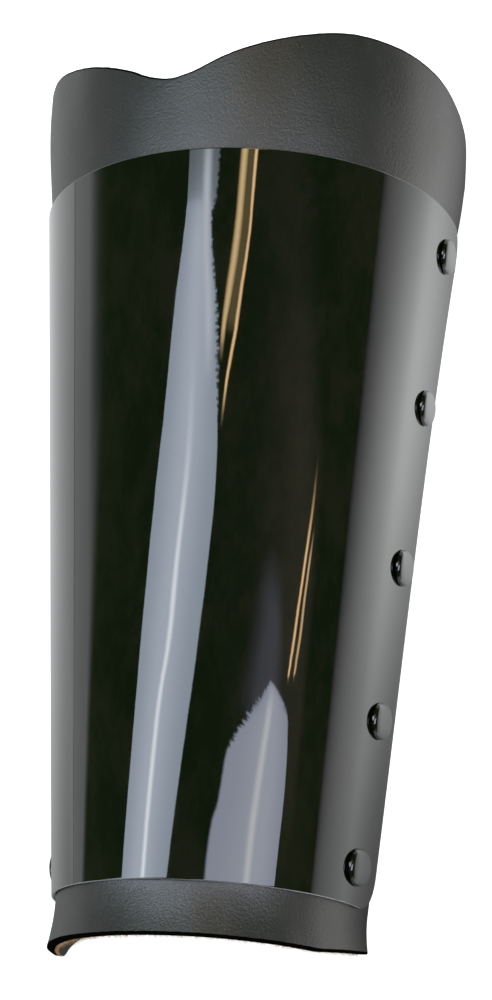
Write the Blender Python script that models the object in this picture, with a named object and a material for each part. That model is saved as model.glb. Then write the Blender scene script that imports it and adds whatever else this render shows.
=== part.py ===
"""Leather and metal bracer, lying as it rests by itself: open side down, on its two long edges.

The forearm runs along +Y from the wrist to the elbow, +Z is up, and the floor is z = 0.
"""
import math

import bmesh
import bpy
import numpy as np
from mathutils import Matrix, Vector

# Driving dimensions, in metres
PLATE_LENGTH = 0.186
PLATE_THICKNESS = 0.0008
PLATE_CORNER = 0.010
PLATE_INSET = 0.0012
LEATHER_THICKNESS = 0.003
WRIST_BAND = 0.0133
WRIST_FLARE = 0.0027
WRIST_FLARE_POWER = 1.5
LOBE_RISE = 0.0355
LOBE_BULGE = 0.0008

# Cuts at the leather's wrist corners: length round the rim, length along the long edge, and the
# power of the line between, which is straight at 1 and hollow below it
WRIST_CUTS = (
    {"side": 1, "round": 0.026, "along": 0.0035, "power": 1.00},
    {"side": -1, "round": 0.0145, "along": 0.0090, "power": 0.65},
)

# Oval of the leather's outside at the plate's wrist edge and at its elbow edge
WRIST_HALF_WIDTH = 0.0409
WRIST_HALF_HEIGHT = 0.0375
WRIST_CENTRE_HEIGHT = 0.0090
ELBOW_HALF_WIDTH = 0.0559
ELBOW_HALF_HEIGHT = 0.0511
ELBOW_CENTRE_HEIGHT = 0.0193

# Below its centre the oval curls in by this share of what a whole oval would: at both edges of the
# plate and past them, and half-way between them
END_CURL = 0.70
MIDDLE_CURL = 1.20

# Rivets, each one a solid with its head outside and a flat back inside
RIVET_HEAD_DIAMETER = 0.0095
RIVET_HEAD_HEIGHT = 0.0018
RIVET_SHANK_DIAMETER = 0.003
RIVET_BACK_DIAMETER = 0.008
RIVET_BACK_THICKNESS = 0.0008
RIVET_MARGIN = 0.0133

# Gap kept between pieces that touch on the real thing, and between a shank and its hole
CLEARANCE = 0.0003

# Where the rivets sit, as shares of the plate's length from its wrist edge
RIVET_STATIONS = (0.051, 0.253, 0.472, 0.708, 0.939)

# Elbow edge of the leather from its middle to a long edge: share of the way round, share of LOBE_RISE
ELBOW_EDGE = (
    {"round": 0.00, "rise": 0.570},
    {"round": 0.05, "rise": 0.602},
    {"round": 0.12, "rise": 0.705},
    {"round": 0.21, "rise": 0.815},
    {"round": 0.30, "rise": 0.900},
    {"round": 0.40, "rise": 0.975},
    {"round": 0.51, "rise": 1.000},
    {"round": 0.63, "rise": 0.975},
    {"round": 0.74, "rise": 0.915},
    {"round": 0.86, "rise": 0.800},
    {"round": 0.95, "rise": 0.650},
    {"round": 1.00, "rise": 0.450},
)

# Profile of a rivet's head, from its rim to its crown: share of its radius, share of its height
HEAD_PROFILE = (
    {"radius": 0.97, "height": 0.00},
    {"radius": 1.00, "height": 0.22},
    {"radius": 0.95, "height": 0.50},
    {"radius": 0.82, "height": 0.74},
    {"radius": 0.60, "height": 0.89},
    {"radius": 0.32, "height": 0.97},
    {"radius": 0.00, "height": 1.00},
)

# Facets
LEATHER_COLUMNS = 44
LEATHER_BAND_ROWS = 3
LEATHER_ROWS = 10
LEATHER_LOBE_ROWS = 5
PLATE_COLUMNS = 36
PLATE_ROWS = 12
CORNER_COLUMNS = 4
RIVET_SIDES = 16
HOLE_SIDES = 12

# A column gives way to a special one nearer than this share of their spacing
COLUMN_GIVES_WAY = 0.35

# Angles between which the wall meets the floor, and the halvings that find it
FLOOR_ANGLE_LOWEST = math.radians(30)
FLOOR_ANGLE_HIGHEST = math.radians(175)
FLOOR_HALVINGS = 50

# Steps that a length round the oval is summed over
GIRTH_STEPS = 60

# Small step, in radians or metres, for the direction of a surface
NUDGE = 1e-4

# Faces that meet at more than this angle are shaded with an edge
SHARP_ANGLE = math.radians(35)

# Points of a spun profile nearer than this are one
MERGE_DISTANCE = 1e-6

# Length of a hole's cutter, in depths of a rivet
CUTTER_LENGTH = 4

# Sizes that follow from them
OVERALL_LENGTH = WRIST_BAND + PLATE_LENGTH + LOBE_RISE
PLATE_START = WRIST_BAND - OVERALL_LENGTH / 2
PLATE_UNDERSIDE = CLEARANCE
PLATE_OUTSIDE = CLEARANCE + PLATE_THICKNESS


def clear_scene():
    for item in list(bpy.data.objects):
        bpy.data.objects.remove(item, do_unlink=True)


def finish_material(name, color, metallic, roughness):
    material = bpy.data.materials.new(name)
    material.use_nodes = True
    shader = material.node_tree.nodes["Principled BSDF"]
    shader.inputs["Base Color"].default_value = (*color, 1.0)
    shader.inputs["Metallic"].default_value = metallic
    shader.inputs["Roughness"].default_value = roughness
    return material


def arch(share):
    """Rise from 0 at both ends of a stretch to 1 half-way along it."""
    return 4 * share * (1 - share)


def oval(along):
    """Half-width, half-height and centre height of the leather's outside, along the forearm.

    All three run straight from the plate's wrist edge (along = 0) to its elbow edge and on past
    both. Past the plate the leather flares at the wrist and bulges a little at the elbow.
    """
    share = along / PLATE_LENGTH
    past_wrist = np.clip(-along / WRIST_BAND, 0, 1)
    past_elbow = np.clip((along - PLATE_LENGTH) / LOBE_RISE, 0, 1)
    flare = WRIST_FLARE * past_wrist ** WRIST_FLARE_POWER + LOBE_BULGE * arch(past_elbow)
    half_width = WRIST_HALF_WIDTH + (ELBOW_HALF_WIDTH - WRIST_HALF_WIDTH) * share + flare
    half_height = WRIST_HALF_HEIGHT + (ELBOW_HALF_HEIGHT - WRIST_HALF_HEIGHT) * share + flare
    centre = WRIST_CENTRE_HEIGHT + (ELBOW_CENTRE_HEIGHT - WRIST_CENTRE_HEIGHT) * share
    return half_width, half_height, centre


def reach(angle, along):
    """Share of the half-width that the oval reaches at an angle from its top, and its slope."""
    share = np.clip(along / PLATE_LENGTH, 0, 1)
    lower_curl = END_CURL + (MIDDLE_CURL - END_CURL) * arch(share)
    curl = np.where(np.abs(angle) > math.pi / 2, lower_curl, 1.0)
    return np.sin(angle) * curl + np.sign(angle) * (1 - curl), np.cos(angle) * curl


def wall_point(angle, along, out):
    """Point at an angle from the top of the oval, moved out from the leather's outside."""
    half_width, half_height, centre = oval(along)
    share, slope = reach(angle, along)
    normal_x = half_height * np.sin(angle)
    normal_z = half_width * slope
    length = np.hypot(normal_x, normal_z)
    x = half_width * share + out * normal_x / length
    z = centre + half_height * np.cos(angle) + out * normal_z / length
    return np.stack([x, along + PLATE_START, z], axis=-1)


def floor_angle(along, out):
    """Angle at which the wall meets the floor, found by halving an interval."""
    low = np.full_like(along, FLOOR_ANGLE_LOWEST)
    high = np.full_like(along, FLOOR_ANGLE_HIGHEST)
    for _ in range(FLOOR_HALVINGS):
        middle = (low + high) / 2
        above = wall_point(middle, along, out)[..., 2] > 0
        low = np.where(above, middle, low)
        high = np.where(above, high, middle)
    return (low + high) / 2


def girth_speed(angle, along):
    """Length round the oval for each radian of angle."""
    half_width, half_height, _ = oval(along)
    slope = reach(angle, along)[1]
    return np.hypot(half_width * slope, half_height * np.sin(angle))


def angle_in_from(angle, along, distance):
    """Angle that lies a distance round the oval back from the one given, towards the top."""
    first_step = angle - distance / girth_speed(angle, along)
    return angle - distance / girth_speed((angle + first_step) / 2, along)


def plate_end_angle(along, _out=0.0):
    """The plate stops a little short of the leather's long edge, at the same angle on both faces."""
    return angle_in_from(floor_angle(along, 0.0), along, PLATE_INSET)


def half_girth(along):
    """Length round the leather's outside from its top to the floor."""
    end = floor_angle(np.array(along), 0.0)
    steps = (np.arange(GIRTH_STEPS) + 0.5) / GIRTH_STEPS * end
    return float(np.mean(girth_speed(steps, np.full_like(steps, along))) * end)


def smooth_between(table, share):
    """Rise read from the table at shares of the way round, on a smooth curve through its rows."""
    places = np.array([row["round"] for row in table])
    rises = np.array([row["rise"] for row in table])
    slopes = np.gradient(rises, places)
    slopes[0] = 0.0
    index = np.clip(np.searchsorted(places, share, side="right") - 1, 0, len(places) - 2)
    width = places[index + 1] - places[index]
    part = (share - places[index]) / width
    return (
        rises[index] * (1 + 2 * part) * (1 - part) ** 2
        + slopes[index] * width * part * (1 - part) ** 2
        + rises[index + 1] * part ** 2 * (3 - 2 * part)
        + slopes[index + 1] * width * part ** 2 * (part - 1)
    )


def corner_setback(distance, radius):
    """How far a rounded corner pulls an end back, at a distance in from the long edge."""
    inside = np.clip(radius - distance, 0, radius)
    return radius - np.sqrt(radius ** 2 - inside ** 2)


def corner_places(radius, half_way_round):
    """Columns through a rounded corner, as shares of the half girth, closer near the long edge."""
    turns = np.arange(1, CORNER_COLUMNS + 1) / CORNER_COLUMNS * math.pi / 2
    return 1 - radius * (1 - np.cos(turns)) / half_way_round


def columns_through(count, special):
    """Evenly spaced shares from -1 to 1, with the special ones in place of their neighbours."""
    special = np.concatenate([special, [-1, 1]])
    even = np.linspace(-1, 1, count + 1)
    spacing = 2 / count
    apart = np.abs(even[:, None] - special[None, :]).min(axis=1)
    return np.sort(np.concatenate([even[apart > spacing * COLUMN_GIVES_WAY], special]))


def leather_wrist_edge(share):
    """Wrist end of the leather: straight round, with both corners cut back."""
    girth = half_girth(-WRIST_BAND)
    edge = np.full_like(share, -WRIST_BAND)
    for cut in WRIST_CUTS:
        into = np.clip(1 - (1 - cut["side"] * share) * girth / cut["round"], 0, 1)
        edge += cut["along"] * into ** cut["power"]
    return edge


def leather_elbow_edge(share):
    return PLATE_LENGTH + LOBE_RISE * smooth_between(ELBOW_EDGE, np.abs(share))


def plate_wrist_edge(share):
    return corner_setback((1 - np.abs(share)) * half_girth(0.0), PLATE_CORNER)


def plate_elbow_edge(share):
    return PLATE_LENGTH - corner_setback((1 - np.abs(share)) * half_girth(PLATE_LENGTH), PLATE_CORNER)


def places_along(edges, rows):
    """Places along the forearm in each column: rows evenly spaced from one edge to the next."""
    stretches = [
        first[:, None] + (last - first)[:, None] * np.arange(count)[None, :] / count
        for first, last, count in zip(edges, edges[1:], rows)
    ]
    return np.concatenate(stretches + [edges[-1][:, None]], axis=1)


def add_sheet(name, columns, edges, rows, end_angle, outside, underside, material):
    """Closed sheet between two offsets of the oval, through its edges from wrist to elbow."""
    along = places_along(edges, rows)
    layers = []
    for out in (outside, underside):
        angle = columns[:, None] * end_angle(along, out)
        layers.append(wall_point(angle, along, out).reshape(-1, 3))
    index = np.arange(along.size).reshape(along.shape)
    top = np.stack([index[:-1, :-1], index[1:, :-1], index[1:, 1:], index[:-1, 1:]], -1).reshape(-1, 4)
    under = top[:, ::-1] + index.size
    rim = np.concatenate([index[:, 0], index[-1, 1:], index[-2::-1, -1], index[0, -2:0:-1]])
    after = np.roll(rim, -1)
    sides = np.stack([after, rim, rim + index.size, after + index.size], -1)
    mesh = bpy.data.meshes.new(name)
    mesh.from_pydata(np.concatenate(layers).tolist(), [], np.concatenate([top, under, sides]).tolist())
    work = bmesh.new()
    work.from_mesh(mesh)
    bmesh.ops.triangulate(work, faces=work.faces[:])
    bmesh.ops.recalc_face_normals(work, faces=work.faces[:])
    work.to_mesh(mesh)
    work.free()
    return add_object(name, mesh, material)


def add_object(name, mesh, material=None):
    item = bpy.data.objects.new(name, mesh)
    bpy.context.scene.collection.objects.link(item)
    if material:
        mesh.materials.append(material)
    mesh.shade_smooth()
    mesh.set_sharp_from_angle(angle=SHARP_ANGLE)
    return item


def rivet_place(station, side):
    """Centre of a rivet's seat on the plate's outside, turned so that +Z points out of the plate."""
    along = np.array(station * PLATE_LENGTH)
    angle = side * angle_in_from(plate_end_angle(along), along, RIVET_MARGIN)
    seat = wall_point(angle, along, PLATE_OUTSIDE)
    round_the_arm = wall_point(angle + NUDGE, along, PLATE_OUTSIDE) - seat
    along_the_arm = wall_point(angle, along + NUDGE, PLATE_OUTSIDE) - seat
    outward = Vector(np.cross(round_the_arm, along_the_arm)).normalized()
    turn = outward.to_track_quat("Z", "Y").to_matrix().to_4x4()
    return Matrix.Translation(Vector(seat)) @ turn


def rivet_depth():
    """Depth of the back's face under the plate's outside, with room for the wall's curve under it."""
    tightest = WRIST_HALF_HEIGHT ** 2 / WRIST_HALF_WIDTH - LEATHER_THICKNESS
    sag = (RIVET_BACK_DIAMETER / 2) ** 2 / (2 * tightest)
    return PLATE_OUTSIDE + LEATHER_THICKNESS + CLEARANCE + sag


def rivet_mesh():
    """Back, shank and head turned in one piece round Z."""
    back_face = -rivet_depth()
    back = RIVET_BACK_DIAMETER / 2
    shank = RIVET_SHANK_DIAMETER / 2
    head = RIVET_HEAD_DIAMETER / 2
    profile = [
        (0.0, back_face - RIVET_BACK_THICKNESS),
        (back, back_face - RIVET_BACK_THICKNESS),
        (back, back_face),
        (shank, back_face),
        (shank, CLEARANCE),
    ]
    for row in HEAD_PROFILE:
        profile.append((head * row["radius"], CLEARANCE + RIVET_HEAD_HEIGHT * row["height"]))
    work = bmesh.new()
    points = [work.verts.new((radius, 0.0, height)) for radius, height in profile]
    edges = [work.edges.new(pair) for pair in zip(points, points[1:])]
    bmesh.ops.spin(
        work, geom=points + edges, cent=(0, 0, 0), axis=(0, 0, 1),
        angle=2 * math.pi, steps=RIVET_SIDES, use_merge=True,
    )
    bmesh.ops.remove_doubles(work, verts=work.verts[:], dist=MERGE_DISTANCE)
    bmesh.ops.recalc_face_normals(work, faces=work.faces[:])
    mesh = bpy.data.meshes.new("rivet")
    work.to_mesh(mesh)
    work.free()
    return mesh


def hole_mesh():
    """Cutter for the hole that a shank passes through, past both faces of the wall."""
    work = bmesh.new()
    radius = RIVET_SHANK_DIAMETER / 2 + CLEARANCE
    bmesh.ops.create_cone(
        work, cap_ends=True, segments=HOLE_SIDES, radius1=radius, radius2=radius,
        depth=CUTTER_LENGTH * rivet_depth(),
    )
    mesh = bpy.data.meshes.new("rivet_hole")
    work.to_mesh(mesh)
    work.free()
    return mesh


def add_rivets(material):
    """Both rows of rivets, and the collection of cutters for their holes."""
    cutters = bpy.data.collections.new("rivet_holes")
    bpy.context.scene.collection.children.link(cutters)
    body, hole = rivet_mesh(), hole_mesh()
    body.materials.append(material)
    for side_name, side in (("right", 1), ("left", -1)):
        for number, station in enumerate(RIVET_STATIONS, start=1):
            place = rivet_place(station, side)
            rivet = add_object(f"rivet_{side_name}_{number}", body)
            rivet.matrix_world = place
            cutter = bpy.data.objects.new(f"rivet_hole_{side_name}_{number}", hole)
            cutters.objects.link(cutter)
            cutter.matrix_world = place
            cutter.hide_render = True
            cutter.display_type = "WIRE"
    return cutters


def cut_holes(item, cutters):
    modifier = item.modifiers.new("rivet holes", "BOOLEAN")
    modifier.operation = "DIFFERENCE"
    modifier.operand_type = "COLLECTION"
    modifier.collection = cutters
    modifier.solver = "EXACT"


def add_leather_body(material):
    girth = half_girth(-WRIST_BAND)
    cut_starts = np.array([cut["side"] * (1 - cut["round"] / girth) for cut in WRIST_CUTS])
    columns = columns_through(LEATHER_COLUMNS, cut_starts)
    plate_ends = [np.zeros_like(columns), np.full_like(columns, PLATE_LENGTH)]
    return add_sheet(
        "leather_body", columns,
        [leather_wrist_edge(columns), *plate_ends, leather_elbow_edge(columns)],
        (LEATHER_BAND_ROWS, LEATHER_ROWS, LEATHER_LOBE_ROWS),
        floor_angle, 0.0, -LEATHER_THICKNESS, material,
    )


def add_plate(material):
    girth = half_girth(0.0)
    corner = corner_places(PLATE_CORNER, girth)
    columns = columns_through(PLATE_COLUMNS, np.concatenate([corner, -corner]))
    return add_sheet(
        "plate", columns, [plate_wrist_edge(columns), plate_elbow_edge(columns)], (PLATE_ROWS,),
        plate_end_angle, PLATE_OUTSIDE, PLATE_UNDERSIDE, material,
    )


def main():
    clear_scene()
    leather = finish_material("black_leather", (0.030, 0.031, 0.034), 0.0, 0.55)
    enamel = finish_material("black_gloss_steel", (0.012, 0.012, 0.013), 0.6, 0.08)
    rivet_black = finish_material("black_rivet", (0.010, 0.010, 0.011), 0.5, 0.15)
    body = add_leather_body(leather)
    plate = add_plate(enamel)
    cutters = add_rivets(rivet_black)
    cut_holes(body, cutters)
    cut_holes(plate, cutters)


main()
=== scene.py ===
import math

import bmesh
import bpy
import numpy as np
from mathutils import Matrix, Vector


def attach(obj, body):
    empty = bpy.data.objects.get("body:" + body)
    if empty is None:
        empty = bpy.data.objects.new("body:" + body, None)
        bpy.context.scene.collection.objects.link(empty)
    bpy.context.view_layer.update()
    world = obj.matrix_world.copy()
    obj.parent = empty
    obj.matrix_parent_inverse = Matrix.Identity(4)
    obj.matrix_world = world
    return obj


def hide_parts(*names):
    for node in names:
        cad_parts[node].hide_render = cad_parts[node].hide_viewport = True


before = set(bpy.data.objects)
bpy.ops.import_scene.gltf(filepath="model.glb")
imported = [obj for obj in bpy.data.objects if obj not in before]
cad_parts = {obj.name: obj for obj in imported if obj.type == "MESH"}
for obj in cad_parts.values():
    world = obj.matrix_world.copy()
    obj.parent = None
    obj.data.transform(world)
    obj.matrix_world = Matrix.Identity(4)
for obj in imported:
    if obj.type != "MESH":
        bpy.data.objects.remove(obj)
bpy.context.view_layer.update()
print("frame loaded with", len(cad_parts), "nodes")


# The form that every piece follows. Lengths are metres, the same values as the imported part's.
bracerForm = {
    "plateStart": -0.1041,                  # y of the plate's wrist edge
    "plateLength": 0.186,
    "wristBand": 0.0133,                    # leather past the plate at the wrist
    "wristFlare": 0.0027,
    "wristFlarePower": 1.5,
    "lobeRise": 0.0355,                     # leather past the plate at the elbow, at its furthest
    "lobeBulge": 0.0008,
    "wristOval": (0.0409, 0.0375, 0.0090),  # half-width, half-height, centre height of the outside
    "elbowOval": (0.0559, 0.0511, 0.0193),
    "endCurl": 0.70,                        # how far the lower half curls in, at the plate's ends
    "middleCurl": 1.20,                     # and half-way between them
    "rivetStations": (0.051, 0.253, 0.472, 0.708, 0.939),  # shares of the plate's length
    "gap": 0.0003,                          # air between the leather and the plate
}


def arch(share):                            # 4 s (1 - s): 0 at both ends, 1 half-way
    return 4 * share * (1 - share)


# Half-width, half-height and centre height run straight from one oval to the other and on past
# both ends; a flare adds to them at the wrist and a low arch past the plate at the elbow.
def ovalAt(along):
    share = along / bracerForm["plateLength"]
    pastWrist = np.clip(-along / bracerForm["wristBand"], 0, 1)
    pastElbow = np.clip((along - bracerForm["plateLength"]) / bracerForm["lobeRise"], 0, 1)
    flare = bracerForm["wristFlare"] * pastWrist ** bracerForm["wristFlarePower"]
    flare = flare + bracerForm["lobeBulge"] * arch(pastElbow)
    near, far = bracerForm["wristOval"], bracerForm["elbowOval"]
    halfWidth, halfHeight, centre = [a + (b - a) * share for a, b in zip(near, far)]
    return halfWidth + flare, halfHeight + flare, centre


# Share of the half-width reached at the angle t from the top, and its slope: sin t in the upper
# half, and k sin t + (1 - k) in the lower, where the curl k arches from end to end.
def reachAt(angle, along):
    share = np.clip(along / bracerForm["plateLength"], 0, 1)
    lower = bracerForm["endCurl"] + (bracerForm["middleCurl"] - bracerForm["endCurl"]) * arch(share)
    curl = np.where(np.abs(angle) > math.pi / 2, lower, 1.0)
    return np.sin(angle) * curl + np.sign(angle) * (1 - curl), np.cos(angle) * curl


# x = A reach(t) and z = c + B cos t, moved out along the oval's normal.
def wallPoint(angle, along, out):
    halfWidth, halfHeight, centre = ovalAt(along)
    reach, slope = reachAt(angle, along)
    normalX, normalZ = halfHeight * np.sin(angle), halfWidth * slope
    length = np.hypot(normalX, normalZ)
    x = halfWidth * reach + out * normalX / length
    z = centre + halfHeight * np.cos(angle) + out * normalZ / length
    return np.stack([x, along + bracerForm["plateStart"] + 0 * x, z], axis=-1)


# The angle where the wall comes down to z = 0, by halving an interval.
def floorAngle(along, out):
    low, high = np.full(np.shape(along), 0.5), np.full(np.shape(along), 3.05)
    for _ in range(40):
        middle = (low + high) / 2
        above = wallPoint(middle, along, out)[..., 2] > 0
        low, high = np.where(above, middle, low), np.where(above, high, middle)
    return (low + high) / 2


def girthSpeed(angle, along):               # length round the oval for each radian
    halfWidth, halfHeight, _ = ovalAt(along)
    return np.hypot(halfWidth * reachAt(angle, along)[1], halfHeight * np.sin(angle))


def angleInFrom(angle, along, distance):    # a distance back towards the top
    firstStep = angle - distance / girthSpeed(angle, along)
    return angle - distance / girthSpeed((angle + firstStep) / 2, along)


# Length from the top to the floor: the mean speed round the oval times the angle, read from a table.
def halfGirth(along):
    places = np.linspace(-0.03, 0.24, 60)
    ends = floorAngle(places, 0.0)
    angles = ends[:, None] * (np.arange(60) + 0.5) / 60
    lengths = girthSpeed(angles, places[:, None]).mean(axis=1) * ends
    return np.interp(along, places, lengths)


# A cubic (Hermite) curve through values at places, with slopes taken from their neighbours.
def curveThrough(places, values, wanted, levelStart=False):
    slopes = np.gradient(values, places)
    if levelStart:
        slopes[0] = 0.0
    index = np.clip(np.searchsorted(places, wanted, side="right") - 1, 0, len(places) - 2)
    width = places[index + 1] - places[index]
    part = (wanted - places[index]) / width
    left = values[index] * (1 + 2 * part) + slopes[index] * width * part
    right = values[index + 1] * (3 - 2 * part) + slopes[index + 1] * width * (part - 1)
    return left * (1 - part) ** 2 + right * part ** 2


# An object of its own from points and lists of faces, with one value a point for each attribute.
def addMesh(name, points, faceLists, material, attributes=None):
    mesh = bpy.data.meshes.new(name)
    faces = [face for faceList in faceLists for face in faceList.tolist()]
    mesh.from_pydata(points.tolist(), [], faces)
    for label, values in (attributes or {}).items():
        layer = mesh.attributes.new(label, "FLOAT", "POINT")
        layer.data.foreach_set("value", values.astype(np.float32).ravel())
    mesh.materials.append(material)
    mesh.shade_smooth()
    item = bpy.data.objects.new(name, mesh)
    bpy.context.scene.collection.objects.link(item)
    return item


def faceOutwards(item, mergeNearer=0.0):    # joins points that meet, then turns the faces outwards
    work = bmesh.new()
    work.from_mesh(item.data)
    if mergeNearer:
        bmesh.ops.remove_doubles(work, verts=work.verts[:], dist=mergeNearer)
    bmesh.ops.recalc_face_normals(work, faces=work.faces[:])
    work.to_mesh(item.data)
    work.free()


def gridFaces(rows, columns):               # quads of a rows by columns grid of points
    index = np.arange(rows * columns).reshape(rows, columns)
    corners = [index[:-1, :-1], index[1:, :-1], index[1:, 1:], index[:-1, 1:]]
    return index, np.stack(corners, -1).reshape(-1, 4)


# Distances in from an edge, closer together where the cut edge is rounded: r (1 - cos a).
def rimSteps(radius, count):
    return radius * (1 - np.cos(np.linspace(0, math.pi / 2, count)))


# How the rows of a sheet lie near its edges, in rim radii unless it says otherwise.
sheetRows = {
    "closeRow": 0.0006,                     # share of the length from a rounding to the row inside it
    "closeAt": 1.2, "farAt": 3.0,           # distances from the edge that the rows inside give
    "stretchLimit": 3.0,                    # the most that a sloping edge stretches the steps
    "endFade": (0.0036, 0.0126),            # metres from a long edge where endness starts and is full
}


# Places along in each column: rounded rows at both edges, one close inside them so that their
# shading stays narrow, and even rows between. The steps at an edge are stretched by the edge's
# slope, so the rounding keeps its width square to the edge.
def rowsBetween(shares, first, last, radius, rimCount, rowCount, girths):
    steps = rimSteps(radius, rimCount)
    limit, close = sheetRows["stretchLimit"], sheetRows["closeRow"]
    stretchFirst = np.minimum(np.hypot(1, np.gradient(first, shares * girths[0])), limit)
    stretchLast = np.minimum(np.hypot(1, np.gradient(last, shares * girths[1])), limit)
    low = first[:, None] + stretchFirst[:, None] * steps
    high = last[:, None] - stretchLast[:, None] * steps[::-1]
    parts = np.concatenate([[close], np.linspace(0, 1, rowCount + 2)[1:-1], [1 - close]])
    middle = low[:, -1:] + (high[:, :1] - low[:, -1:]) * parts
    closeAt = [sheetRows["closeAt"] * radius]
    between = np.full(rowCount, sheetRows["farAt"] * radius)
    distance = np.concatenate([steps, closeAt, between, closeAt, steps[::-1]])
    along = np.concatenate([low, middle, high], axis=1)
    return along, np.broadcast_to(distance, along.shape)


# A closed sheet: the point (share, along) is carried to both faces, at plus and minus half the
# thickness from the middle, and within the rim radius r of an edge the faces close in on a
# quarter circle of the distance d: half thickness - r + sqrt(r^2 - (r - d)^2). The attributes are
# depth, from 0 on the outside to 1 on the inside, edge, 1 at every edge, and endness, 1 at the
# wrist and elbow edges alone.
def sheetSurface(name, shares, along, distance, endAngle, outside, thickness, radius, wave, material):
    long = (1 - np.abs(shares))[:, None] * halfGirth(along)
    inward = np.clip(np.minimum(distance, long), 0, radius)
    half = thickness / 2 - radius + np.sqrt(radius ** 2 - (radius - inward) ** 2)
    layers, depths = [], []
    for side in (1, -1):
        out = outside - thickness / 2 + side * half
        angle = shares[:, None] * endAngle(along, out)
        layers.append(wallPoint(angle, along, out + wave).reshape(-1, 3))
        depths.append(((thickness / 2 - side * half) / thickness).ravel())
    index, top = gridFaces(*along.shape)    # the rim's points run once round the grid
    rim = np.concatenate([index[:, 0], index[-1, 1:], index[-2::-1, -1], index[0, -2:0:-1]])
    after = np.roll(rim, -1)
    sides = np.stack([after, rim, rim + index.size, after + index.size], -1)
    edge = np.clip(1 - np.minimum(distance, long) / (sheetRows["closeAt"] * radius), 0, 1)
    fadeStart, fadeEnd = sheetRows["endFade"]
    awayFromLong = np.clip((long - fadeStart) / (fadeEnd - fadeStart), 0, 1)
    endness = np.clip(1 - distance / radius, 0, 1) * awayFromLong
    attributes = {"depth": np.concatenate(depths), "edge": np.tile(edge.ravel(), 2),
                  "endness": np.tile(endness.ravel(), 2)}
    faces = [top, top[:, ::-1] + index.size, sides]
    item = addMesh(name, np.concatenate(layers), faces, material, attributes)
    faceOutwards(item)
    return item


# Hides the part's node that the piece stands for, if any, and hangs the piece on the body.
def finishPiece(item, node):
    if node:
        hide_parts(node)
    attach(item, "root")


# A socket that can be added, multiplied and so on; each operation adds a Math node.
class Field:
    def __init__(self, finish, socket):
        self.finish, self.socket = finish, socket

    def math(self, operation, *values):
        return self.finish.node("ShaderNodeMath", {"operation": operation}, dict(enumerate(values)))

    def __add__(self, other): return self.math("ADD", self, other)
    def __radd__(self, other): return self.math("ADD", other, self)
    def __sub__(self, other): return self.math("SUBTRACT", self, other)
    def __rsub__(self, other): return self.math("SUBTRACT", other, self)
    def __mul__(self, other): return self.math("MULTIPLY", self, other)
    def __rmul__(self, other): return self.math("MULTIPLY", other, self)
    def __truediv__(self, other): return self.math("DIVIDE", self, other)
    def __rtruediv__(self, other): return self.math("DIVIDE", other, self)

    def within(self, low, high):            # 0 below low, 1 above high, smooth between
        sockets = {"Value": self, "From Min": low, "From Max": high}
        return self.finish.node("ShaderNodeMapRange", {"interpolation_type": "SMOOTHSTEP"}, sockets)

    def bell(self, centre, width):          # exp(-((value - centre) / width)^2)
        away = (self - centre) * (1 / width)
        return (0 - away * away).exp()

    def exp(self):
        return self.math("EXPONENT", self)


# A material: node() makes any node from its type, its settings and its sockets' values or links.
class Finish:
    def __init__(self, name, fixed):
        self.material = bpy.data.materials.new(name)
        self.material.use_nodes = True
        self.tree = self.material.node_tree
        self.shader = self.tree.nodes["Principled BSDF"]
        for label, value in fixed.items():
            self.shader.inputs[label].default_value = value

    def node(self, kind, settings=None, sockets=None, output=0):
        made = self.tree.nodes.new(kind)
        for label, value in (settings or {}).items():
            setattr(made, label, value)
        for label, value in (sockets or {}).items():
            if isinstance(value, Field):
                self.tree.links.new(value.socket, made.inputs[label])
            else:
                made.inputs[label].default_value = value
        return Field(self, made.outputs[output])

    def place(self):
        return self.node("ShaderNodeTexCoord", {}, {}, "Object")

    def axis(self, place, name):
        return self.node("ShaderNodeSeparateXYZ", {}, {"Vector": place}, name)

    def stretched(self, place, x, y, z):    # coordinates with each axis scaled
        return self.node("ShaderNodeVectorMath", {"operation": "MULTIPLY"}, {0: place, 1: (x, y, z)})

    def mix(self, factor, first, second):   # two colours
        return self.node("ShaderNodeMix", {"data_type": "RGBA"}, {0: factor, 6: first, 7: second}, 2)

    def noise(self, place, scale, detail=3.0, roughness=0.5):
        sockets = {"Vector": place, "Scale": scale, "Detail": detail, "Roughness": roughness}
        return self.node("ShaderNodeTexNoise", {}, sockets)

    def cells(self, place, scale, output, settings=None):
        return self.node("ShaderNodeTexVoronoi", settings, {"Vector": place, "Scale": scale}, output)

    def dust(self, place, scale, size):     # a speck in one cell of about fifteen
        chosen = self.axis(self.cells(place, scale, "Color"), "X").within(0.93, 0.94)
        return (1 - self.cells(place, scale, "Distance").within(size * 0.6, size)) * chosen

    def attribute(self, name):
        return self.node("ShaderNodeAttribute", {"attribute_name": name}, {}, "Fac")

    def bump(self, height, strength, distance):
        sockets = {"Strength": strength, "Distance": distance, "Height": height}
        return self.node("ShaderNodeBump", {}, sockets)

    def feed(self, **links):                # BaseColor=..., Roughness=..., Normal=...
        spaced = {"BaseColor": "Base Color", "CoatWeight": "Coat Weight",
                  "EmissionColor": "Emission Color"}
        for label, field in links.items():
            self.tree.links.new(field.socket, self.shader.inputs[spaced.get(label, label)])
        return self.material

    def cover(self, factor, fixed):         # a second plain shader laid over the first by a factor
        under = Field(self, self.shader.outputs[0])
        above = self.node("ShaderNodeBsdfPrincipled", {}, fixed)
        mixed = self.node("ShaderNodeMixShader", {}, {0: factor, 1: under, 2: above})
        self.tree.links.new(mixed.socket, self.tree.nodes["Material Output"].inputs["Surface"])
        return self.material


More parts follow.
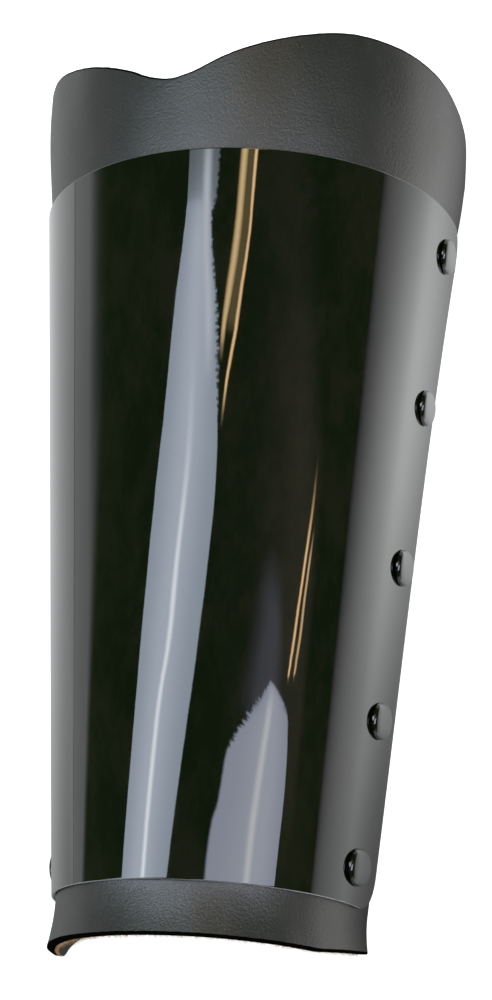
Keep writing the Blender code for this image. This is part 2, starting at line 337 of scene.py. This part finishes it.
leatherLook = {
    "thickness": 0.003,
    "cutEdge": 0.0006,                      # radius of the dressed cut edges
    "columns": 212, "rows": 170, "rimRows": 5,
    "closeColumn": 1.3,                     # where the column inside a rounding lies, in its radii
    # wrist corners: side, length round the rim, length along the long edge, power of the line between
    "wristCuts": ((1, 0.026, 0.0035, 1.00), (-1, 0.0145, 0.0090, 0.65)),
    "elbowEdge": ((0, .570), (.05, .602), (.12, .705), (.21, .815), (.30, .900), (.40, .975),
                  (.51, 1), (.63, .975), (.74, .915), (.86, .800), (.95, .650), (1, .450)),
    # waves where it stands free of the plate: share of the height, turns for each unit of angle
    # and for each metre along, and phase
    "waves": ((1.0, 5.3, 60, 0.0), (0.6, 11.7, -150, 1.3), (0.4, 23, 90, 0.4)),
    "waveHeight": 0.00010, "waveAngle": 1.9,
    "waveStart": (0.008, 0.012),            # metres past the plate's two ends to their full height
    "ragged": 0.00007,                      # how far a cut edge wanders
    "black": (0.008, 0.0076, 0.0065, 1), "faded": (0.018, 0.0175, 0.016, 1),
    "sheenTint": (1.0, 0.985, 0.95, 1),
    "cutBlack": (0.002, 0.002, 0.0015, 1),
    # The flesh colours are dark brown partly as painted shade, for the shadow inside the arch.
    "flesh": (0.040, 0.026, 0.017, 1), "fleshDark": (0.011, 0.008, 0.006, 1),
    "dust": (0.75, 0.75, 0.74, 1),
    # cells or turns for each metre: pebbles, fine grain, patches, broad fading, frayed edge, flesh
    "grain": 1800.0, "fine": 3800.0, "patch": 480.0, "broad": 34.0, "fray": 900.0, "nap": 1300.0,
    "dustCells": 62.0, "dustSize": 0.011,
    "ior": 1.62, "roughness": 0.41, "fleshRoughness": 0.95, "bump": 0.40, "bumpDistance": 0.00026,
}


# Grained black outside, the flesh side inside by depth, kept dark brown partly as painted shade for
# the shadow inside the arch, and black all along the cut edges.
def leatherMaterial():
    look = leatherLook
    fixed = {"IOR": look["ior"], "Specular IOR Level": 1.0, "Specular Tint": look["sheenTint"]}
    finish = Finish("black_leather", fixed)
    place = finish.place()
    pebble = finish.cells(place, look["grain"], "Distance", {"feature": "SMOOTH_F1"})
    fine = finish.noise(place, look["fine"], 3.0, 0.65)
    patch = finish.noise(place, look["patch"], 3.0, 0.6)
    broad = finish.noise(place, look["broad"], 3.0, 0.55)
    depth = finish.attribute("depth")
    fray = finish.noise(place, look["fray"], 3.0, 0.7)
    inside = (depth + (fray - 0.5) * 0.10).within(0.86, 0.93)
    faded = broad.within(0.40, 0.75) * 0.5 + patch.within(0.45, 0.75) * 0.3
    outer = finish.mix(faded, look["black"], look["faded"])
    outer = finish.mix(finish.dust(place, look["dustCells"], look["dustSize"]), outer, look["dust"])
    nap = finish.noise(finish.stretched(place, 1.0, 0.4, 1.0), look["nap"], 4.0, 0.7)
    fleshy = nap.within(0.3, 0.75) * 0.7 + broad.within(0.3, 0.7) * 0.3
    # Flesh side, kept dark partly as painted shade.
    flesh = finish.mix(fleshy, look["fleshDark"], look["flesh"])
    color = finish.mix(inside, outer, flesh)
    outerRough = look["roughness"] + (fine - 0.5) * 0.14 + (patch - 0.5) * 0.12
    rough = outerRough * (1 - inside) + inside * look["fleshRoughness"]
    outerHeight = (1 - pebble) * 0.60 + fine * 0.45 + patch * 0.07
    height = outerHeight * (1 - inside) + inside * nap * 2.0
    normal = finish.bump(height, look["bump"], look["bumpDistance"])
    finish.feed(BaseColor=color, Roughness=rough, Normal=normal)
    cut = (finish.attribute("edge") + (fray - 0.5) * 0.10).within(0.04, 0.16) * (1 - inside)
    matte = {"Base Color": look["cutBlack"], "Roughness": 1.0, "Specular IOR Level": 0.0}
    return finish.cover(cut, matte)


# The straight wrist edge with each corner cut back: how far into the cut, from 0 where it starts
# to 1 at the long edge, to a power, times the cut's length along.
def wristEdge(share):
    girth = halfGirth(-bracerForm["wristBand"])
    edge = np.full_like(share, -bracerForm["wristBand"])
    for side, roundLength, alongLength, power in leatherLook["wristCuts"]:
        into = np.clip(1 - (1 - side * share) * girth / roundLength, 0, 1)
        edge = edge + alongLength * into ** power
    return edge


# The elbow edge's table of shares of the lobe's rise, from the top to the long edge, as one curve.
def elbowEdge(share):
    places, rises = np.array(leatherLook["elbowEdge"]).T
    rise = curveThrough(places, rises, np.abs(share), levelStart=True)
    return bracerForm["plateLength"] + bracerForm["lobeRise"] * rise


# The mean of sines of whole numbers that share no factor, so that the line never looks regular.
def wander(turns, counts):
    return sum(np.sin(turns * count + count ** 2) for count in counts) / len(counts)


# One sheet from the floor on the right round to the floor on the left. Where it is free of the
# plate its surface sinks and rises by a few sines of the angle and of the length.
def makeLeather():
    look, length = leatherLook, bracerForm["plateLength"]
    inFromLong = rimSteps(look["cutEdge"], look["rimRows"])
    inFromLong = np.append(inFromLong, look["cutEdge"] * look["closeColumn"]) / halfGirth(0.0)
    inner = np.linspace(-1 + inFromLong[-1], 1 - inFromLong[-1], look["columns"])[1:-1]
    shares = np.concatenate([-1 + inFromLong, inner, 1 - inFromLong[::-1]])
    first = wristEdge(shares) + look["ragged"] * wander(shares * 3, (37, 53, 71, 101))
    last = elbowEdge(shares) + look["ragged"] * wander(shares * 3, (31, 47, 67, 97))
    along, distance = rowsBetween(shares, first, last, look["cutEdge"], look["rimRows"], look["rows"],
                                  (halfGirth(0.0), halfGirth(length)))
    angle = shares[:, None] * look["waveAngle"]
    wristStart, elbowStart = look["waveStart"]
    past = np.clip((along - length) / elbowStart, 0, 1) + np.clip(-along / wristStart, 0, 1)
    wave = sum(part * (np.sin(angle * around + along * onward + phase) - 1)
               for part, around, onward, phase in look["waves"]) * look["waveHeight"] * past
    item = sheetSurface("leather_wall", shares, along, distance, floorAngle, 0.0, look["thickness"],
                        look["cutEdge"], wave, leatherMaterial())
    finishPiece(item, "leather_body")
    print("leather made,", len(item.data.polygons), "faces")


# Loose fibres along the inner corner of the cut edges: each is a three-sided tube on a bent line,
# p + s along + curl s^2 across, with its thickness falling to nothing at the end.
fibreLook = {
    "count": 3400, "length": (0.0005, 0.0015), "radius": 0.00003, "seed": 11,
    "widest": 0.97,                         # share of the way to the long edges
    "backFromEdge": 0.0005,                 # the furthest that one starts from the cut edge
    "depth": (0.0014, 0.0024, 0.0029),      # least at the elbow, least at the wrist, and most
    "thinning": (1, 1, 0.9, 0.7, 0.25),     # of the radius from the root to the tip
    "shades": 700.0,                        # colour patches for each metre
    "tan": (0.50, 0.24, 0.07, 1), "pale": (0.72, 0.52, 0.28, 1),
}


# The fibres start at random places in from the edge and lean away from it, mostly outwards.
def makeFibres():
    look = fibreLook
    chance = np.random.default_rng(look["seed"])
    count = look["count"]
    share = chance.uniform(-look["widest"], look["widest"], count)
    elbow = chance.random(count) < 0.5
    edge = np.where(elbow, elbowEdge(share), wristEdge(share))
    toMiddle = np.where(elbow, -1.0, 1.0)
    along = edge + toMiddle * chance.uniform(0.0, look["backFromEdge"], count)
    leastElbow, leastWrist, deepest = look["depth"]
    out = -chance.uniform(np.where(elbow, leastElbow, leastWrist), deepest)

    def spot(shares, places, outs):
        return wallPoint(shares * floorAngle(places, outs), places, outs)

    def unit(vectors):
        return vectors / np.linalg.norm(vectors, axis=1)[:, None]

    start = spot(share, along, out)
    roundward = unit(spot(share + 0.002, along, out) - start)
    outward = unit(spot(share, along, out + 0.0005) - start)
    away = np.stack([np.zeros(count), -toMiddle, np.zeros(count)], -1)
    lengths = chance.uniform(*look["length"], count)[:, None]
    heading = roundward * chance.normal(0, 1, count)[:, None]
    heading = heading + away * chance.uniform(0.2, 1.2, count)[:, None]
    heading = unit(heading - outward * chance.uniform(0.0, 0.5, count)[:, None])
    curl = np.cross(heading, outward) * chance.normal(0, 0.5, count)[:, None] - outward * 0.25
    steps = np.linspace(0, 1, 5)
    line = (start[:, None] + heading[:, None] * (lengths * steps)[..., None]
            + curl[:, None] * (lengths * steps ** 2)[..., None] * 0.6)
    across = unit(np.cross(heading, outward))
    other = np.cross(heading, across)
    turn = np.arange(3) * 2 * math.pi / 3
    ring = across[:, None] * np.cos(turn)[None, :, None]
    ring = ring + other[:, None] * np.sin(turn)[None, :, None]
    radius = look["radius"] * np.array(look["thinning"])
    points = line[:, :, None] + ring[:, None] * radius[None, :, None, None]
    points[..., 2] = np.maximum(points[..., 2], 0.0)
    index = np.arange(15).reshape(5, 3)
    after = np.roll(index, -1, axis=1)
    tube = np.stack([index[:-1], after[:-1], after[1:], index[1:]], -1).reshape(-1, 4)
    caps = np.array([index[0, ::-1], index[-1]])
    offsets = 15 * np.arange(count)[:, None, None]
    finish = Finish("leather_fibre", {"Roughness": 0.9})
    shade = finish.noise(finish.place(), look["shades"]).within(0.35, 0.65)
    material = finish.feed(BaseColor=finish.mix(shade, look["tan"], look["pale"]))
    item = addMesh("leather_fibres", points.reshape(-1, 3),
                   [(tube + offsets).reshape(-1, 4), (caps + offsets).reshape(-1, 3)], material)
    faceOutwards(item)
    finishPiece(item, None)
    print("fibres made,", count)


plateLook = {
    "thickness": 0.0008, "cutEdge": 0.00030, "corner": 0.010, "inset": 0.0012,
    "columns": 230, "rows": 150, "rimRows": 6, "cornerColumns": 26,
    "black": (0.0012, 0.0030, 0.0008, 1), "brown": (0.0100, 0.0085, 0.0050, 1),
    # The grey metal colour for the wrist and elbow edges is a painted highlight, for the bright line
    # that their rounded edges reflect.
    "endHighlight": (0.50, 0.50, 0.51, 1), "dust": (0.55, 0.56, 0.52, 1),
    "roughness": 0.02, "ior": 1.6, "coatIor": 1.5, "coatRoughness": 0.012,
    # cells or turns for each metre: clouds in the enamel, scratches, the noise that breaks up the
    # painted highlight at the ends, dents, fine waves
    "clouds": 70.0, "scratches": 2400.0, "endBreakup": 420.0, "dents": 34.0, "fineWaves": 190.0,
    "dustCells": 58.0, "dustSize": 0.009, "bump": 0.35, "bumpDistance": 0.0003,
}


# Clear coat over near-black enamel that is a little clouded. When asked, grey metal shows at the
# wrist and elbow edges where endness passes a threshold that a noise moves: a painted highlight for
# the bright line that those rounded edges reflect.
def enamelMaterial(name, highlitEnds):
    look = plateLook
    fixed = {"IOR": look["ior"], "Coat Weight": 1.0, "Coat Roughness": look["coatRoughness"],
             "Coat IOR": look["coatIor"]}
    finish = Finish(name, fixed)
    place = finish.place()
    cloudy = finish.noise(finish.stretched(place, 1.0, 0.45, 1.0), look["clouds"], 7.0, 0.75)
    scratch = finish.noise(finish.stretched(place, 1.0, 0.03, 1.0), look["scratches"], 2.0, 0.5)
    rough = look["roughness"] + cloudy.within(0.48, 0.78) * 0.03 + scratch.within(0.70, 0.80) * 0.04
    color = finish.mix(cloudy.within(0.40, 0.62), look["black"], look["brown"])
    color = finish.mix(finish.dust(place, look["dustCells"], look["dustSize"]), color, look["dust"])
    links = {"Roughness": rough}
    # Painted highlight: grey metal at the wrist and elbow edges, broken up by a noise.
    if highlitEnds:
        breakup = (finish.noise(place, look["endBreakup"], 3.0) - 0.5) * 0.7
        endHighlight = (finish.attribute("endness") + breakup).within(0.30, 0.60)
        color = finish.mix(endHighlight, color, look["endHighlight"])
        links["Metallic"] = endHighlight * 0.9
        links["Roughness"] = rough + endHighlight * 0.25
        links["CoatWeight"] = 1 - endHighlight
    dents = finish.noise(finish.stretched(place, 1.0, 0.5, 1.0), look["dents"], 2.0, 0.5)
    fineWaves = finish.noise(finish.stretched(place, 1.0, 0.8, 1.0), look["fineWaves"], 2.0, 0.5)
    links["Normal"] = finish.bump(dents + fineWaves * 0.05, look["bump"], look["bumpDistance"])
    return finish.feed(BaseColor=color, **links)


def plateEndAngle(along, _out=0.0):         # short of the leather's long edge, by the inset
    return angleInFrom(floorAngle(along, 0.0), along, plateLook["inset"])


# How far a rounded corner pulls an end back at a distance d: r - sqrt(r^2 - (r - d)^2).
def cornerSetback(distance, radius):
    inside = np.clip(radius - distance, 0, radius)
    return radius - np.sqrt(radius ** 2 - inside ** 2)


# One sheet just outside the leather, with a quarter circle at each corner.
def makePlate():
    look, length = plateLook, bracerForm["plateLength"]
    girths = (halfGirth(0.0), halfGirth(length))
    fromLong = np.concatenate([rimSteps(look["cutEdge"], look["rimRows"]),
                               rimSteps(look["corner"], look["cornerColumns"])[3:]]) / girths[0]
    fromLong = np.unique(fromLong)
    inner = np.linspace(-1 + fromLong[-1], 1 - fromLong[-1], look["columns"])[1:-1]
    shares = np.concatenate([-1 + fromLong, inner, 1 - fromLong[::-1]])
    first = cornerSetback((1 - np.abs(shares)) * girths[0], look["corner"])
    last = length - cornerSetback((1 - np.abs(shares)) * girths[1], look["corner"])
    along, distance = rowsBetween(shares, first, last, look["cutEdge"], look["rimRows"],
                                  look["rows"], girths)
    item = sheetSurface("black_plate", shares, along, distance, plateEndAngle,
                        bracerForm["gap"] + look["thickness"], look["thickness"], look["cutEdge"],
                        0.0, enamelMaterial("black_gloss_steel", True))
    finishPiece(item, "plate")
    print("plate made,", len(item.data.polygons), "faces")


rivetLook = {
    "headDiameter": 0.0095, "headHeight": 0.0018, "shank": 0.003, "margin": 0.0133,
    "backDiameter": 0.008, "backThickness": 0.0008, "sides": 64,
}


# Half the outline of a rivet, turned round its axis. The head is |r|^2.4 + |h|^3.1 = 1, steep at
# its rim and nearly flat on top, and the back is a disc with rounded rims.
def rivetProfile():
    look, gap = rivetLook, bracerForm["gap"]
    halfWidth, halfHeight, _ = bracerForm["wristOval"]
    tightest = halfHeight ** 2 / halfWidth - leatherLook["thickness"]
    sag = (look["backDiameter"] / 2) ** 2 / (2 * tightest)
    deep = -(gap + plateLook["thickness"] + leatherLook["thickness"] + gap + sag)
    back, thick, shank = look["backDiameter"] / 2, look["backThickness"], look["shank"] / 2
    roundTurn = np.linspace(-math.pi / 2, math.pi / 2, 9)
    backRim = np.stack([back - thick / 2 + thick / 2 * np.cos(roundTurn),
                        deep - thick / 2 + thick / 2 * np.sin(roundTurn)], -1)
    turn = np.linspace(0, math.pi / 2, 26)
    radius = look["headDiameter"] / 2 * np.cos(turn) ** (2 / 2.4)
    height = gap + look["headHeight"] * np.sin(turn) ** (2 / 3.1)
    head = np.stack([radius, height], -1)
    under = [[shank, deep], [shank, gap], [look["headDiameter"] / 2 * 0.94, gap]]
    return np.concatenate([[[1e-6, deep - thick]], backRim, under, head[:-1], [[1e-6, head[-1, 1]]]])


# Each rivet's outline is turned round the plate's normal at its station, a margin in from the edge.
def makeRivets():
    look, form = rivetLook, bracerForm
    profile = rivetProfile()
    turns = np.arange(look["sides"]) * 2 * math.pi / look["sides"]
    local = np.stack([profile[:, :1] * np.cos(turns), profile[:, :1] * np.sin(turns),
                      np.broadcast_to(profile[:, 1:], (len(profile), look["sides"]))], -1)
    index = np.arange(local.shape[0] * look["sides"]).reshape(-1, look["sides"])
    after = np.roll(index, -1, axis=1)
    faces = np.stack([index[:-1], after[:-1], after[1:], index[1:]], -1).reshape(-1, 4)
    material = enamelMaterial("black_rivet", False)
    outside = form["gap"] + plateLook["thickness"]
    for sideName, side in (("right", 1), ("left", -1)):
        for number, station in enumerate(form["rivetStations"], start=1):
            along = np.array(station * form["plateLength"])
            angle = side * angleInFrom(plateEndAngle(along), along, look["margin"])
            seat = wallPoint(angle, along, outside)
            roundward = wallPoint(angle + 1e-4, along, outside) - seat
            lengthward = wallPoint(angle, along + 1e-4, outside) - seat
            outward = Vector(np.cross(roundward, lengthward)).normalized()
            turn = np.array(outward.to_track_quat("Z", "Y").to_matrix())
            points = local.reshape(-1, 3) @ turn.T + seat
            item = addMesh(f"domed_rivet_{sideName}_{number}", points, [faces], material)
            faceOutwards(item, mergeNearer=5e-6)
            item.data.set_sharp_from_angle(angle=math.radians(50))
            finishPiece(item, f"rivet_{sideName}_{number}")
    print("rivets made")


darkGlow = (.045, .075, .03)                # what the gloss shows between the bright cards

# Bright cards over the bracer are what its gloss shows. A card's rows run from the elbow's end to
# the wrist's, each with its ends' places (left y, left x, right y, right x) as shares of cardHeight.
studio = {
    "cardHeight": 1.55,
    "world": (0.96, 0.98, 1.0, 1), "worldStrength": 0.62,
    "floorColor": (0.82, 0.82, 0.82, 1),
    "cards": {
        "ceiling": {
            "rim": darkGlow, "middle": darkGlow, "soft": (.30, .001), "fade": (.01, .01),
            "rows": ((3.0, -4.4, 3.0, 3.3), (.9, -4.2, .9, 3.3), (.4, -4.0, .4, 3.3),
                     (.05, -6.5, .05, 3.3), (-.4, -8.0, -.4, 3.3), (-3.0, -9.0, -3.0, 3.3)),
        },
        "dim_haze": {
            "rim": (.13, .13, .08), "middle": (.19, .185, .125), "soft": (.4, .3), "fade": (.3, .6),
            "rows": ((.40, .10, .40, 3.2), (.15, .12, .15, 3.2), (-.05, .2, -.05, 3.2),
                     (-.2, .2, -.2, 3.2)),
        },
        "blue_haze": {
            "rim": (.30, .30, .36), "middle": (.42, .43, .52), "soft": (.4, .4), "fade": (.5, .1),
            "rows": ((.09, .85, .09, 1.35), (.05, .65, .055, 1.35), (.01, .55, .025, 1.45),
                     (-.05, .4, -.03, 1.5)),
        },
        "long_window": {
            "rim": (2.3, 2.7, 3.2), "middle": (3.5, 3.9, 4.6), "soft": (.02, .02), "fade": (.24, .01),
            "teeth": (0, .09, .34),
            "rows": ((.46, -.19, .44, .05), (.265, -.25, .25, .03), (.235, -.265, .215, -.02),
                     (.185, -.36, .16, .085), (.145, -.42, .12, .115), (.10, -.515, .065, .125),
                     (.03, -.655, -.005, .04), (-.03, -.78, -.06, -.065), (-.095, -.92, -.12, -.185),
                     (-.25, -1.2, -.27, -.45), (-.65, -1.95, -.70, -1.05)),
        },
        "window_line": {
            "rim": (6.5, 6.9, 7.3), "middle": (6.5, 6.9, 7.3), "soft": (.5, .5), "fade": (.35, .01),
            "rows": ((.17, -.19, .17, -.09), (.10, -.195, .10, -.10), (.05, -.26, .05, -.17),
                     (.005, -.325, .005, -.225), (-.025, -.42, -.025, -.32),
                     (-.075, -.515, -.075, -.405), (-.11, -.57, -.11, -.46),
                     (-.25, -.77, -.25, -.63)),
        },
        "window_edge": {
            "rim": (4.0, 4.3, 4.8), "middle": (4.0, 4.3, 4.8), "soft": (.5, .5), "fade": (.2, .35),
            "rows": ((.30, -.14, .30, -.03), (.235, -.14, .235, -.025), (.20, -.12, .20, -.005),
                     (.175, -.09, .175, .03), (.145, -.065, .145, .055), (.12, -.055, .12, .065)),
        },
        "low_window": {
            "rim": (2.2, 2.4, 3.0), "middle": (2.9, 3.1, 3.6), "soft": (.03, .02), "fade": (.01, .01),
            "teeth": (.13, .05, .36),
            "rows": ((-.002, 1.05, .0, 1.20), (-.022, .845, .005, 1.48), (-.042, .605, .006, 1.74),
                     (-.062, .41, -.012, 1.83), (-.09, .33, -.065, 1.89), (-.13, .22, -.13, 1.81),
                     (-.30, .19, -.32, 1.56), (-.65, .0, -.68, 1.3)),
        },
        "low_window_line": {
            "rim": (4.3, 4.4, 4.6), "middle": (4.3, 4.4, 4.6), "soft": (.5, .5), "fade": (.15, .01),
            "rows": ((0.0, 1.03, 0.0, 1.23), (-.045, .92, -.045, 1.14), (-.085, .82, -.085, 1.05),
                     (-.125, .76, -.125, .99), (-.30, .65, -.30, .85)),
        },
        "warm_haze": {
            "rim": (.75, .60, .28), "middle": (.75, .60, .28), "soft": (.1, .1), "fade": (.01, .1),
            "rows": ((.45, .36, .45, .44), (.255, .26, .26, .32), (.22, .24, .22, .31),
                     (.18, .19, .18, .26), (.155, .14, .155, .21)),
        },
        "warm_tube_1": {
            "rim": (1.5, .9, .35), "middle": (5.6, 4.1, 2.1), "soft": (.25, .2), "fade": (.01, .2),
            "rows": ((.45, .28, .45, .38), (.255, .182, .255, .268), (.215, .162, .215, .248),
                     (.18, .115, .18, .198), (.16, .095, .16, .153), (.14, .09, .14, .13)),
        },
        "warm_tube_2": {
            "rim": (2.2, 1.2, .5), "middle": (7.5, 5.0, 2.6), "soft": (.2, .2), "fade": (.01, .15),
            "rows": ((.45, .42, .45, .47), (.26, .31, .26, .35), (.22, .30, .22, .332),
                     (.185, .25, .185, .29), (.16, .215, .16, .255), (.135, .165, .135, .20),
                     (.105, .13, .105, .155)),
        },
        "warm_tube_3": {
            "rim": (2.2, 1.2, .5), "middle": (7.5, 5.0, 2.6), "soft": (.2, .2), "fade": (.4, .03),
            "rows": ((.29, 2.04, .315, 2.20), (.22, 1.96, .245, 2.16), (.155, 1.82, .175, 2.0),
                     (.11, 1.72, .125, 1.88), (.055, 1.60, .07, 1.76), (.025, 1.53, .03, 1.62)),
        },
        "warm_tube_4": {
            "rim": (1.6, 1.0, .5), "middle": (5.5, 3.8, 2.0), "soft": (.2, .2), "fade": (.3, .03),
            "rows": ((.245, 2.27, .255, 2.36), (.185, 2.09, .205, 2.27), (.135, 1.98, .155, 2.17),
                     (.09, 1.91, .105, 2.10), (.04, 1.765, .05, 1.89)),
        },
    },
    "heightStep": 0.004,                    # each card hangs this share of cardHeight below the last
    "tooth": {"pitch": 340.0, "reach": 0.12},  # noise turns for each metre, and how softly they end
    "darkWall": {"x": 5.15, "half": 9.0, "bottom": -0.01, "top": 1.6},
    # What the gloss sees of the floor, in metres of x and y, painted as the floor lit from the right:
    # to the right, a base, a far glow that halves at farReach, a near one and a painted pool of light
    # that fall off from x = start, and painted shadow close to the leather's foot, whose x changes
    # with y; to the left, a glow that rises along y, with painted shadow close to the foot there as
    # well.
    "floorGlow": {
        "base": 0.08, "far": 0.42, "farReach": 0.9, "near": 0.5, "nearReach": 0.25,
        "lightPool": 1.7, "poolReach": 0.08, "poolCentre": 0.035, "poolWidth": 0.085, "start": 0.06,
        "foot": 0.046, "footSlope": 0.06, "contactShadow": (-0.004, 0.036), "contactGlow": 0.05,
        "left": 0.56, "leftMore": 0.22, "leftRise": (-0.12, 0.02),
        "leftShadow": 0.6, "leftFoot": -0.055, "leftReach": 0.04, "leftCap": 1.3,
        "colour": (3.92, 4.0, 4.04, 1), "most": 4.0,
    },
    "camera": {"tilt": 17.99, "turn": 27.0, "roll": 5.06, "distance": 0.7, "lens": 96.21,
               "target": (0.0, -0.0071, 0.030), "shift": (0.0384, 0.02665)},
}


# The glow runs from the rim's colour to the middle's on a bell, and the card clears away at its
# sides and ends over the soft and fade shares. Teeth, given for its left, for its right and for how
# far down they reach, notch its sides by a noise along y.
def cardMaterial(name, card):
    finish = Finish(name, {"Base Color": (0, 0, 0, 1), "Roughness": 1.0, "Specular IOR Level": 0.0,
                           "Emission Strength": 1.0})
    across, down = finish.attribute("across"), finish.attribute("down")
    glow = finish.mix(across.bell(0.5, 0.3), (*card["rim"], 1), (*card["middle"], 1))
    (left, right), (first, last) = card["soft"], card["fade"]
    fromLeft, fromRight = across, 1 - across
    if "teeth" in card:
        leftTeeth, rightTeeth, lastTooth = card["teeth"]
        strip = finish.stretched(finish.place(), 0.0, 1.0, 0.0)
        tooth = studio["tooth"]
        notch = finish.noise(strip, tooth["pitch"], 0.0).within(0.3, 0.7)
        notch = notch * (1 - down.within(lastTooth, lastTooth + tooth["reach"]))
        fromLeft, fromRight = fromLeft - notch * leftTeeth, fromRight - notch * rightTeeth
    shown = down.within(0.0, first) * (1 - down.within(1 - last, 1.0))
    shown = shown * fromLeft.within(0.0, left) * fromRight.within(0.0, right)
    return finish.feed(EmissionColor=glow, Alpha=shown)


# A card is a sheet between two smooth lines through its rows' ends, hung flat at one height.
def addCard(name, card, height):
    ends = np.array(card["rows"]).T
    rows = np.arange(ends.shape[1], dtype=float)
    wanted = np.linspace(0, rows[-1], 12 * (len(rows) - 1) + 1)
    leftY, leftX, rightY, rightX = [curveThrough(rows, end, wanted) * height for end in ends]
    across = np.linspace(0, 1, 9)
    x = leftX[:, None] + (rightX - leftX)[:, None] * across
    y = leftY[:, None] + (rightY - leftY)[:, None] * across
    points = np.stack([x, y, np.full_like(x, height)], -1).reshape(-1, 3)
    down = np.broadcast_to((wanted / rows[-1])[:, None], x.shape)
    _, faces = gridFaces(*x.shape)
    item = addMesh(name, points, [faces], cardMaterial(name, card),
                   {"across": np.broadcast_to(across, x.shape), "down": down})
    item.visible_camera = False


def flatSquare(name, half, height, material):  # round the origin
    corners = np.array([[-half, -half, height], [half, -half, height], [half, half, height],
                        [-half, half, height]], float)
    item = addMesh(name, corners, [np.array([[0, 1, 2, 3]])], material)
    return item


# Right and left of the bracer, with the terms that studio names, as a share of the colour's strength.
# The floor is painted as lit from the right, with a painted pool of light and painted shadows at
# the leather's feet.
def floorGlowMaterial():
    glow = studio["floorGlow"]
    finish = Finish("floor_glow", {"Base Color": (0, 0, 0, 1), "Specular IOR Level": 0.0,
                                   "Emission Strength": 1.0})
    place = finish.place()
    x, y = finish.axis(place, "X"), finish.axis(place, "Y")
    share = x / glow["farReach"]
    far = glow["far"] / (1 + share * share) + glow["base"]
    near = glow["near"] * ((glow["start"] - x) * (1 / glow["nearReach"])).exp()
    # A painted pool of light on the floor to the right of the bracer.
    lightPool = glow["lightPool"] * y.bell(glow["poolCentre"], glow["poolWidth"])
    lightPool = lightPool * ((glow["start"] - x) * (1 / glow["poolReach"])).exp()
    # Painted shadow where the leather's foot shades the floor, kept down to contactGlow.
    fromFoot = x - glow["foot"] - y * glow["footSlope"]
    lit = glow["contactGlow"] + (1 - glow["contactGlow"]) * fromFoot.within(*glow["contactShadow"])
    right = (far + near + lightPool) * lit
    left = glow["left"] + glow["leftMore"] * y.within(*glow["leftRise"])
    # Painted shadow close to the left foot.
    close = ((x - glow["leftFoot"]) * (1 / glow["leftReach"])).exp().within(0.0, glow["leftCap"])
    left = left * (1 - glow["leftShadow"] * close)
    onRight = x.within(-0.01, 0.01)
    strength = (right * onRight + left * (1 - onRight)) / glow["most"]
    return finish.feed(EmissionColor=finish.mix(strength, (0, 0, 0, 1), glow["colour"]))


# The floor that the camera sees, the one that the gloss sees, the cards one under another, a dark
# wall past their right ends, and an even pale world.
def makeStudio():
    floorFinish = Finish("pale_floor", {"Base Color": studio["floorColor"], "Roughness": 0.7,
                                        "Emission Color": (1, 1, 1, 1), "Emission Strength": 1.0})
    floor = flatSquare("floor", 40.0, 0.0, floorFinish.material)
    floor.visible_glossy = False
    glow = flatSquare("floor_in_gloss", 60.0, -0.003, floorGlowMaterial())
    glow.visible_camera = False
    glow.visible_diffuse = False
    glow.visible_shadow = False
    high = studio["cardHeight"]
    for order, (name, card) in enumerate(studio["cards"].items()):
        addCard(name, card, high * (1.01 - studio["heightStep"] * order))
    x, half, bottom, top = [studio["darkWall"][part] for part in ("x", "half", "bottom", "top")]
    wall = np.array([[x, -half, bottom], [x, half, bottom], [x, half, top], [x, -half, top]])
    dark = Finish("dark_wall", {"Base Color": (0, 0, 0, 1), "Specular IOR Level": 0.0,
                                "Emission Color": (*darkGlow, 1), "Emission Strength": 1.0})
    side = addMesh("dark_wall", wall, [np.array([[0, 1, 2, 3]])], dark.material)
    side.visible_camera = False

    world = bpy.data.worlds.new("studio")
    world.use_nodes = True
    background = world.node_tree.nodes["Background"]
    background.inputs["Color"].default_value = studio["world"]
    background.inputs["Strength"].default_value = studio["worldStrength"]
    bpy.context.scene.world = world
    bpy.context.scene.view_settings.view_transform = "Standard"
    print("studio made")


# The camera stands back from its target along a line that leans from straight up by turn to the
# right and by tilt towards the wrist, and is rolled about that line.
def placeCamera():
    setting = studio["camera"]
    tilt, turn, roll = [math.radians(setting[name]) for name in ("tilt", "turn", "roll")]
    back = Vector((math.sin(turn) * math.cos(tilt), -math.sin(tilt), math.cos(turn) * math.cos(tilt)))
    across = (-back).cross(Vector((0, 1, 0))).normalized()
    upward = across.cross(-back)
    cameraX = math.cos(roll) * across + math.sin(roll) * upward
    cameraY = -math.sin(roll) * across + math.cos(roll) * upward
    data = bpy.data.cameras.new("camera")
    data.sensor_width, data.lens = 36, setting["lens"]
    data.shift_x, data.shift_y = setting["shift"]
    data.clip_start, data.clip_end = 0.01, 50
    camera = bpy.data.objects.new("camera", data)
    bpy.context.scene.collection.objects.link(camera)
    place = Vector(setting["target"]) + setting["distance"] * back
    rotation = Matrix((cameraX, cameraY, back)).transposed().to_4x4()
    camera.matrix_world = Matrix.Translation(place) @ rotation
    bpy.context.scene.camera = camera
    print("camera placed")


makeLeather()
makeFibres()
makePlate()
makeRivets()
makeStudio()
placeCamera()
